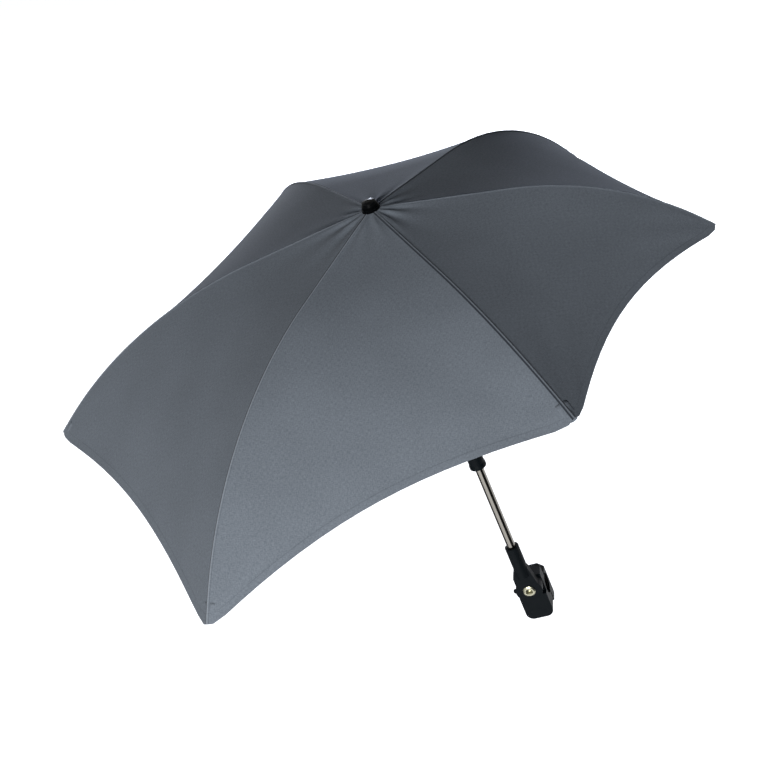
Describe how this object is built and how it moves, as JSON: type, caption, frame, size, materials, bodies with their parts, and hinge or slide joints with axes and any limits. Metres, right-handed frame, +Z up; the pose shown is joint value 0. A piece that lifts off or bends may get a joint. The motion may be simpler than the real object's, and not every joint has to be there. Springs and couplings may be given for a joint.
{
  "type": "pram parasol",
  "caption": "Woven pram parasol with a folding ribbed canopy, a sliding runner, a tilting shaft and a screw clamp that grips a round pushchair tube.",
  "frame": {"origin": "middle of the pushchair tube that the clamp grips", "axes": "+Z up the shaft at rest, +X along the gripped tube, -Y the side where the pivot rivet shows"},
  "size_m": [0.7308, 0.6495, 0.5753],
  "materials": {
    "heather_cloth": "woven",
    "black_plastic": "matte",
    "black_gloss": "gloss",
    "pad_rubber": "matte",
    "nickel_steel": "polished",
    "rib_steel": "black lacquer",
    "insert_brass": "turned"
  },
  "bodies": {
    "clamp": {"clamp_body": "black_plastic", "front_jaw_pad": "pad_rubber", "screw_insert": "insert_brass", "guide_post": "nickel_steel", "pivot_rivet": "nickel_steel", "pivot_washer": "nickel_steel"},
    "jaw": {"rear_jaw": "black_plastic", "rear_jaw_pad": "pad_rubber"},
    "knob": {"thumb_knob": "black_plastic", "clamp_screw": "nickel_steel"},
    "button": {"release_button": "black_plastic"},
    "shaft": {"foot_socket": "black_plastic", "lower_tube": "nickel_steel", "tilt_tongue": "black_plastic"},
    "head": {"tilt_housing": "black_plastic", "tilt_pin": "nickel_steel", "upper_tube": "nickel_steel", "crown": "black_plastic", "crown_pins": "nickel_steel", "ferrule_cap": "black_gloss"},
    "runner": {"runner": "black_plastic", "runner_grip_ring": "pad_rubber"},
    "rib_1": {"rib_1": "rib_steel", "rib_tip_1": "black_plastic", "joint_pin_1": "nickel_steel", "canopy_1": "heather_cloth"},
    "stretcher_1": {"stretcher_1": "rib_steel", "runner_pin_1": "nickel_steel"},
    "rib_2": {"rib_2": "rib_steel", "rib_tip_2": "black_plastic", "joint_pin_2": "nickel_steel", "canopy_2": "heather_cloth"},
    "stretcher_2": {"stretcher_2": "rib_steel", "runner_pin_2": "nickel_steel"},
    "rib_3": {"rib_3": "rib_steel", "rib_tip_3": "black_plastic", "joint_pin_3": "nickel_steel", "canopy_3": "heather_cloth"},
    "stretcher_3": {"stretcher_3": "rib_steel", "runner_pin_3": "nickel_steel"},
    "rib_4": {"rib_4": "rib_steel", "rib_tip_4": "black_plastic", "joint_pin_4": "nickel_steel", "canopy_4": "heather_cloth"},
    "stretcher_4": {"stretcher_4": "rib_steel", "runner_pin_4": "nickel_steel"},
    "rib_5": {"rib_5": "rib_steel", "rib_tip_5": "black_plastic", "joint_pin_5": "nickel_steel", "canopy_5": "heather_cloth"},
    "stretcher_5": {"stretcher_5": "rib_steel", "runner_pin_5": "nickel_steel"},
    "rib_6": {"rib_6": "rib_steel", "rib_tip_6": "black_plastic", "joint_pin_6": "nickel_steel", "canopy_6": "heather_cloth"},
    "stretcher_6": {"stretcher_6": "rib_steel", "runner_pin_6": "nickel_steel"}
  },
  "joints": [
    {"name": "knob_turn", "type": "hinge", "parent": "jaw", "child": "knob", "pos_m": [0, 0.03, -0.02], "axis": [0, 1, 0], "range_deg": [0, 2400]},
    {"name": "jaw_slide", "type": "slide", "parent": "clamp", "child": "jaw", "axis": [0, 1, 0], "range_m": [0, 0.0101]},
    {"name": "button_press", "type": "slide", "parent": "clamp", "child": "button", "axis": [1, 0, 0], "range_m": [0, 0.003], "stiffness_N_per_m": 300},
    {"name": "shaft_pivot", "type": "hinge", "parent": "clamp", "child": "shaft", "pos_m": [0, -0.0245, 0.017], "axis": [0, 1, 0], "range_deg": [-75, 75]},
    {"name": "head_tilt", "type": "hinge", "parent": "shaft", "child": "head", "pos_m": [0, -0.0245, 0.215], "axis": [-1, 0, 0], "range_deg": [0, 60]},
    {"name": "runner_slide", "type": "slide", "parent": "head", "child": "runner", "axis": [0, 0, -1], "range_m": [0, 0.14456], "deforming": ["canopy_1", "canopy_2", "canopy_3", "canopy_4", "canopy_5", "canopy_6"]},
    {"name": "rib_fold_1", "type": "hinge", "parent": "head", "child": "rib_1", "pos_m": [0.01, -0.0245, 0.529], "axis": [0, 1, 0], "range_deg": [0, 60.05]},
    {"name": "stretcher_fold_1", "type": "hinge", "parent": "rib_1", "child": "stretcher_1", "pos_m": [0.12589, -0.0245, 0.50639], "axis": [0, 1, 0], "range_deg": [-99.87, 0]},
    {"name": "rib_fold_2", "type": "hinge", "parent": "head", "child": "rib_2", "pos_m": [0.005, -0.01584, 0.529], "axis": [-0.866, 0.5, 0], "range_deg": [0, 60.05]},
    {"name": "stretcher_fold_2", "type": "hinge", "parent": "rib_2", "child": "stretcher_2", "pos_m": [0.06295, 0.08452, 0.50639], "axis": [-0.866, 0.5, 0], "range_deg": [-99.87, 0]},
    {"name": "rib_fold_3", "type": "hinge", "parent": "head", "child": "rib_3", "pos_m": [-0.005, -0.01584, 0.529], "axis": [-0.866, -0.5, 0], "range_deg": [0, 60.05]},
    {"name": "stretcher_fold_3", "type": "hinge", "parent": "rib_3", "child": "stretcher_3", "pos_m": [-0.06295, 0.08452, 0.50639], "axis": [-0.866, -0.5, 0], "range_deg": [-99.87, 0]},
    {"name": "rib_fold_4", "type": "hinge", "parent": "head", "child": "rib_4", "pos_m": [-0.01, -0.0245, 0.529], "axis": [0, -1, 0], "range_deg": [0, 60.05]},
    {"name": "stretcher_fold_4", "type": "hinge", "parent": "rib_4", "child": "stretcher_4", "pos_m": [-0.12589, -0.0245, 0.50639], "axis": [0, -1, 0], "range_deg": [-99.87, 0]},
    {"name": "rib_fold_5", "type": "hinge", "parent": "head", "child": "rib_5", "pos_m": [-0.005, -0.03316, 0.529], "axis": [0.866, -0.5, 0], "range_deg": [0, 60.05]},
    {"name": "stretcher_fold_5", "type": "hinge", "parent": "rib_5", "child": "stretcher_5", "pos_m": [-0.06295, -0.13352, 0.50639], "axis": [0.866, -0.5, 0], "range_deg": [-99.87, 0]},
    {"name": "rib_fold_6", "type": "hinge", "parent": "head", "child": "rib_6", "pos_m": [0.005, -0.03316, 0.529], "axis": [0.866, 0.5, 0], "range_deg": [0, 60.05]},
    {"name": "stretcher_fold_6", "type": "hinge", "parent": "rib_6", "child": "stretcher_6", "pos_m": [0.06295, -0.13352, 0.50639], "axis": [0.866, 0.5, 0], "range_deg": [-99.87, 0]}
  ],
  "couplings": [
    {"joint": "jaw_slide", "follows": "knob_turn", "m_per_rad": 0.00023873},
    {"joint": "rib_fold_1", "follows": "runner_slide", "rad_per_m": 7.2439},
    {"joint": "stretcher_fold_1", "follows": "runner_slide", "rad_per_m": -12.051},
    {"joint": "rib_fold_2", "follows": "runner_slide", "rad_per_m": 7.2439},
    {"joint": "stretcher_fold_2", "follows": "runner_slide", "rad_per_m": -12.051},
    {"joint": "rib_fold_3", "follows": "runner_slide", "rad_per_m": 7.2439},
    {"joint": "stretcher_fold_3", "follows": "runner_slide", "rad_per_m": -12.051},
    {"joint": "rib_fold_4", "follows": "runner_slide", "rad_per_m": 7.2439},
    {"joint": "stretcher_fold_4", "follows": "runner_slide", "rad_per_m": -12.051},
    {"joint": "rib_fold_5", "follows": "runner_slide", "rad_per_m": 7.2439},
    {"joint": "stretcher_fold_5", "follows": "runner_slide", "rad_per_m": -12.051},
    {"joint": "rib_fold_6", "follows": "runner_slide", "rad_per_m": 7.2439},
    {"joint": "stretcher_fold_6", "follows": "runner_slide", "rad_per_m": -12.051}
  ]
}
